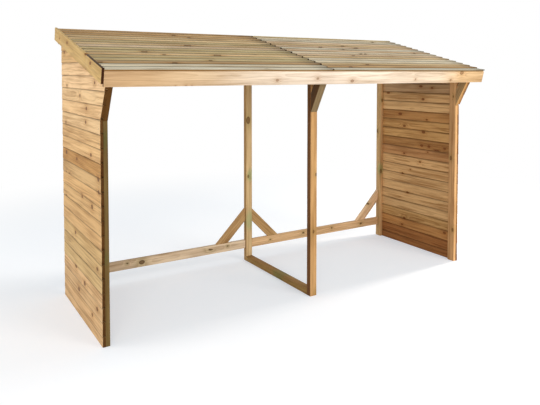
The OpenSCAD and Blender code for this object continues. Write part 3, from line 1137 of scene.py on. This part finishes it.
# %% Colours of the roof
PALE, SILVER, BUFF, PUTTY = "#dad0b6", "#c6bda5", "#d4c7ab", "#ccb392"
OLIVE, SAND, TAN = "#bca97e", "#c7ad83", "#b5956a"
LEFT_STAINS = (PALE, BUFF, TAN, OLIVE, OLIVE, SAND, OLIVE, OLIVE, PUTTY, SAND, OLIVE, SAND, SAND, TAN)
RIGHT_STAINS = (SILVER, TAN, SAND, BUFF, BUFF, SAND, PUTTY, BUFF, PUTTY, SILVER, PUTTY, SAND, PUTTY, SILVER,
                BUFF, OLIVE)
LEFT_UNEVEN = (0.001, 0.009)
RIGHT_UNEVEN = (0.009, 0.003)
ROOF_LAP_SHADE_BAND = 0.032
ROOF_KNOTS = [
    (-0.77, 14, 0.009), (-0.67, 13, 0.008), (-0.82, 9, 0.015), (-1.24, 6, 0.012), (-1.13, 5, 0.007),
    (-0.73, 5, 0.016), (-0.86, 3, 0.008), (-1.15, 2, 0.010), (0.47, 10, 0.010), (0.87, 10, 0.013),
    (0.66, 9, 0.008), (0.78, 11, 0.009), (0.73, 7, 0.009), (0.78, 7, 0.008), (0.58, 6, 0.009),
    (1.45, 8, 0.009), (0.46, 2, 0.010), (0.23, 1, 0.009), (1.35, 14, 0.008),
]


def on_roof(knots):
    """Knots given by their place along the store, the number of their board and the radius."""
    return [(roof_board_place(k, x) @ Vector((0, 0, BOARD_T / 2)), radius) for x, k, radius in knots]


roof_wood = softwood("weathered roof boards", on_roof(ROOF_KNOTS), (0.5, 0.9, 1.5), share=0.12, contrast=1.1,
                     joint=ROOF_EXPOSURE, lap_shade=0.95, lap_shade_band=ROOF_LAP_SHADE_BAND, knot_depth=0.7,
                     heart=paint("#5c4a32"))
lay_roof("left_panel_boards", "left_roof_boards", roof_wood, LEFT_STAINS, LEFT_UNEVEN)
lay_roof("right_panel_boards", "right_roof_boards", roof_wood, RIGHT_STAINS, RIGHT_UNEVEN)

# %% [markdown]
# ## Nail heads
# Every board is held by nails, one where it crosses a post or a batten. The fascia has thinner ones, two at
# each batten. A nail head could be a painted dot, but close up the light catches its rim. So each head is a
# short cone frustum with a bevelled top, set a hair proud of the wood.

# %% Nail heads
NAIL_RADIUS = 0.0030
TRIM_RADIUS = 0.0015
NAIL_HEIGHT = 0.0010
NAIL_PROUD = 0.0005
NAIL_SIDES = 10
NAIL_TAPER = 0.9
NAIL_ARRIS = 0.3


def nail(place, towards, radius=NAIL_RADIUS):
    bm = bmesh.new()
    bmesh.ops.create_cone(bm, cap_ends=True, segments=NAIL_SIDES, radius1=radius, radius2=radius * NAIL_TAPER,
                          depth=NAIL_HEIGHT)
    top = [e for e in bm.edges if min(v.co.z for v in e.verts) > 0]
    wear_edges(bm, top, NAIL_HEIGHT * NAIL_ARRIS, segments=1)
    turned = towards.to_track_quat("Z", "Y").to_matrix().to_4x4()
    turned.translation = place + towards * (NAIL_PROUD - NAIL_HEIGHT / 2)
    bmesh.ops.transform(bm, matrix=turned, verts=bm.verts)
    return bm


print("nail heads", NAIL_RADIUS * 2000, "mm across")

# %% [markdown]
# ## Zinc
# The nails are galvanised: dull grey zinc, with rust where it has worn through. Plain grey metal would
# glitter on so small a head. So fine noise mixes two greys, and a coarser one adds rust, which doesn't shine.

# %% Zinc
ZINC_PALE = paint("#8d8b86")
ZINC_DULL = paint("#6f6d69")
RUST = paint("#5a3a22")
RUST_DEPTH = 0.8
ZINC_SCALE = (900.0, 900.0, 900.0)
RUST_SCALE = (90.0, 90.0, 90.0)
RUST_EDGE = (0.52, 0.66)


def zinc(name):
    material, start = new_material(name)
    here = start.node("ShaderNodeTexCoord", output="Object")
    dull = here.noise(ZINC_SCALE)
    rust = here.noise(RUST_SCALE, 3.0).step(*RUST_EDGE)
    greys = start.node("ShaderNodeMix", {"data_type": "RGBA"}, {0: dull, 6: ZINC_PALE, 7: ZINC_DULL}, 2)
    shader = start.node("ShaderNodeBsdfPrincipled", inputs={
        "Base Color": greys.mixed(RUST_DEPTH * rust, RUST), "Metallic": 0.7 - 0.6 * rust,
        "Roughness": 0.42 + 0.2 * dull + 0.25 * rust})
    start.node("ShaderNodeOutputMaterial", inputs={"Surface": shader})
    return material


nail_zinc = zinc("galvanised nails")
print("zinc of", len(nail_zinc.node_tree.nodes), "nodes")

# %% [markdown]
# ## Driving the nails
# Nails follow the timber behind the boards: a row up each post and a row up each batten, a little off line as
# by hand. Their places could be typed in, but taking them from the boxes of the frame's own posts and battens
# keeps them right if the store is built in another size. All heads of one kind are one piece.

# %% Drive the nails
NAIL_UP_BOARD = 0.034
POST_W = 0.068
FASCIA_ROWS = (0.025, 0.070)
WALL_SCATTER = (-0.008, 0.008)
ROOF_SCATTER = (-0.004, 0.004)


def middle_x(node):
    low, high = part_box(node)
    return (low.x + high.x) / 2


def wall_nails(out, wall_x):
    face = WALL_T - LIP_STEP * NAIL_UP_BOARD / FACE_TOP
    heads = []
    for k in range(1, WALL_COUNT):
        z = WALL_FIRST_LAP + (k - 1) * WALL_EXPOSURE + NAIL_UP_BOARD
        for y in (FRONT_Y + POST_W / 2, BACK_Y - POST_W / 2):
            if z < EAVE.z + (y - EAVE.y) * math.tan(ROOF_PITCH) - POST_W:
                place = Vector((wall_x, y + chance.uniform(*WALL_SCATTER), z))
                heads.append(nail(place + out * face, out))
    return heads


def roof_nails():
    on_board = Vector((0, NAIL_UP_BOARD, BOARD_T))
    return [nail(roof_board_place(k, middle_x(node) + chance.uniform(*ROOF_SCATTER)) @ on_board, OFF_BOARD)
            for k in range(ROOF_COUNT - 1) for node in BATTENS]


def trim_nails():
    return [nail(Vector((middle_x(node), EAVE.y, EAVE.z)) - OFF_SLOPE * down, -UP_SLOPE, TRIM_RADIUS)
            for node in BATTENS for down in FASCIA_ROWS]


both_walls = wall_nails(-TO_RIGHT, LEFT_WALL_X) + wall_nails(TO_RIGHT, RIGHT_WALL_X)
for name, heads in (("wall_nails", both_walls), ("roof_nails", roof_nails()), ("trim_nails", trim_nails())):
    print(name, len(heads))
    add_piece(name, stack(heads), [nail_zinc])
